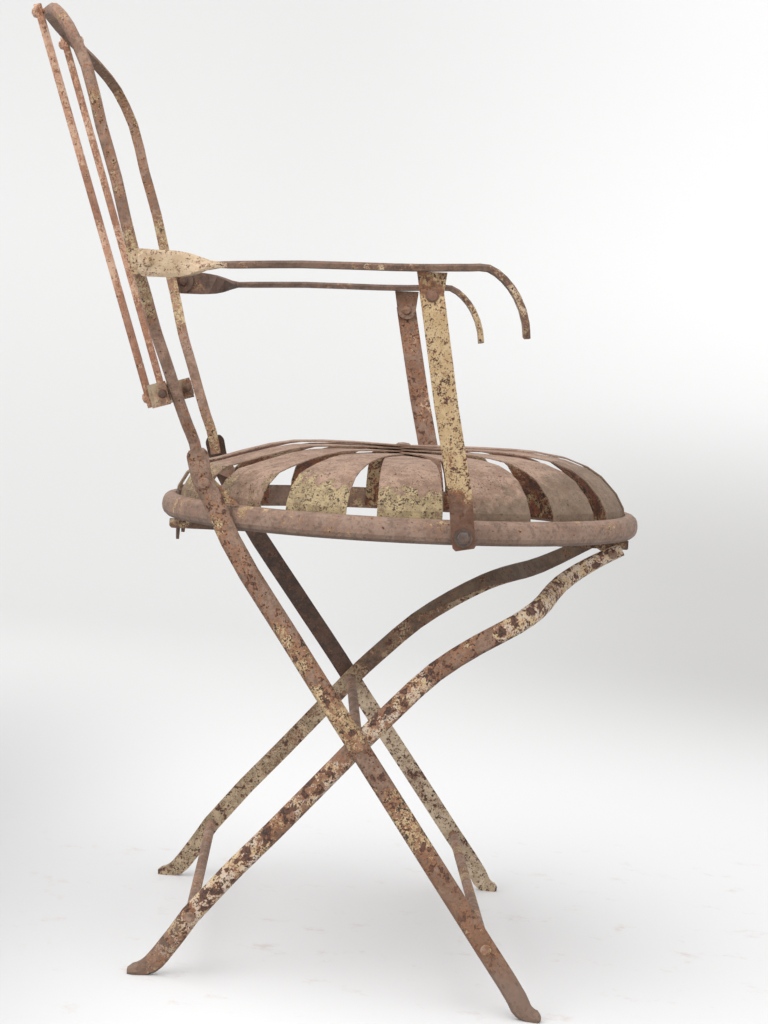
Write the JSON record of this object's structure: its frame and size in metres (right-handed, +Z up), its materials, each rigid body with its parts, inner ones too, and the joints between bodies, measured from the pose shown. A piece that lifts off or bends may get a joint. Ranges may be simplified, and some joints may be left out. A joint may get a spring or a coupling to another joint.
{
  "type": "folding garden armchair",
  "caption": "Aged iron folding garden armchair with a round domed seat of sprung steel strips, scrolled arms and an arched slatted back.",
  "frame": {"origin": "on the ground, under the middle of the whole chair", "axes": "+X towards the front of the chair, +Y towards the sitter's left, +Z up"},
  "size_m": [0.5815, 0.525, 0.8278],
  "materials": {
    "worn_cream_paint": "matt cream paint, flaked and deeply pitted",
    "taupe_patina": "matt weathered brown paint and rust",
    "orange_rust": "matt orange and pink rust with paint remains",
    "dark_iron": "matt dark brown rusted iron"
  },
  "bodies": {
    "frame": {"stile_left": "worn_cream_paint", "stile_right": "worn_cream_paint", "front_stretcher": "orange_rust", "cross_axle": "taupe_patina", "back_hoop": "taupe_patina", "lower_back_rail": "orange_rust", "rail_lug_left": "taupe_patina", "rail_lug_right": "taupe_patina", "rail_rivet_left": "dark_iron", "rail_rivet_right": "dark_iron", "back_slat_left": "orange_rust", "back_slat_right": "orange_rust", "slat_rivet_top_left": "taupe_patina", "slat_rivet_top_right": "taupe_patina", "slat_rivet_low_left": "orange_rust", "slat_rivet_low_right": "orange_rust", "arm_bracket_left": "dark_iron", "arm_bracket_right": "worn_cream_paint", "arm_rivet_left": "worn_cream_paint", "arm_rivet_right": "worn_cream_paint", "seat_rivet_left": "taupe_patina", "seat_rivet_right": "taupe_patina"},
    "rear_legs": {"rear_leg_left": "worn_cream_paint", "rear_leg_right": "worn_cream_paint", "rear_stretcher": "orange_rust", "top_cross_pin": "orange_rust"},
    "seat": {"seat_ring": "taupe_patina", "seat_strip_1": "taupe_patina", "seat_strip_2": "taupe_patina", "seat_strip_3": "taupe_patina", "seat_strip_4": "taupe_patina", "seat_strip_5": "taupe_patina", "seat_strip_6": "taupe_patina", "seat_strip_7": "taupe_patina", "seat_strip_8": "taupe_patina", "centre_rivet": "taupe_patina", "bearer_left": "dark_iron", "bearer_right": "dark_iron", "rear_catch_left": "dark_iron", "rear_catch_right": "dark_iron", "pivot_ear_left": "taupe_patina", "pivot_ear_right": "taupe_patina", "bolt_washer_left": "taupe_patina", "bolt_washer_right": "taupe_patina", "post_bolt_left": "dark_iron", "post_bolt_right": "dark_iron", "post_nut_left": "dark_iron", "post_nut_right": "dark_iron"},
    "arm_left": {"arm_left": "taupe_patina", "arm_lug_left": "orange_rust", "post_rivet_left": "taupe_patina"},
    "arm_right": {"arm_right": "taupe_patina", "arm_lug_right": "orange_rust", "post_rivet_right": "taupe_patina"},
    "post_left": {"arm_post_left": "worn_cream_paint"},
    "post_right": {"arm_post_right": "worn_cream_paint"}
  },
  "joints": [
    {"name": "seat_fold", "type": "hinge", "parent": "frame", "child": "seat", "pos_m": [-0.10434, 0, 0.42195], "axis": [0, -1, 0], "range_deg": [0, 82]},
    {"name": "rear_leg_fold", "type": "hinge", "parent": "frame", "child": "rear_legs", "pos_m": [0.0454, 0, 0.21469], "axis": [0, -1, 0], "range_deg": [0, 72]},
    {"name": "arm_fold_left", "type": "hinge", "parent": "frame", "child": "arm_left", "pos_m": [-0.16151, 0.252, 0.602], "axis": [0, -1, 0], "range_deg": [0, 79.5]},
    {"name": "arm_fold_right", "type": "hinge", "parent": "frame", "child": "arm_right", "pos_m": [-0.16151, -0.252, 0.602], "axis": [0, -1, 0], "range_deg": [0, 79.5]},
    {"name": "post_fold_left", "type": "hinge", "parent": "arm_left", "child": "post_left", "pos_m": [0.06986, 0.252, 0.59488], "axis": [0, -1, 0], "range_deg": [-75.5, 0]},
    {"name": "post_fold_right", "type": "hinge", "parent": "arm_right", "child": "post_right", "pos_m": [0.06986, -0.252, 0.59488], "axis": [0, -1, 0], "range_deg": [-75.5, 0]}
  ],
  "couplings": [
    {"joint": "rear_leg_fold", "follows": "seat_fold", "ratio": 0.871},
    {"joint": "arm_fold_left", "follows": "seat_fold", "ratio": 0.9627},
    {"joint": "arm_fold_right", "follows": "seat_fold", "ratio": 0.9627},
    {"joint": "post_fold_left", "follows": "seat_fold", "ratio": -0.91},
    {"joint": "post_fold_right", "follows": "seat_fold", "ratio": -0.91}
  ]
}
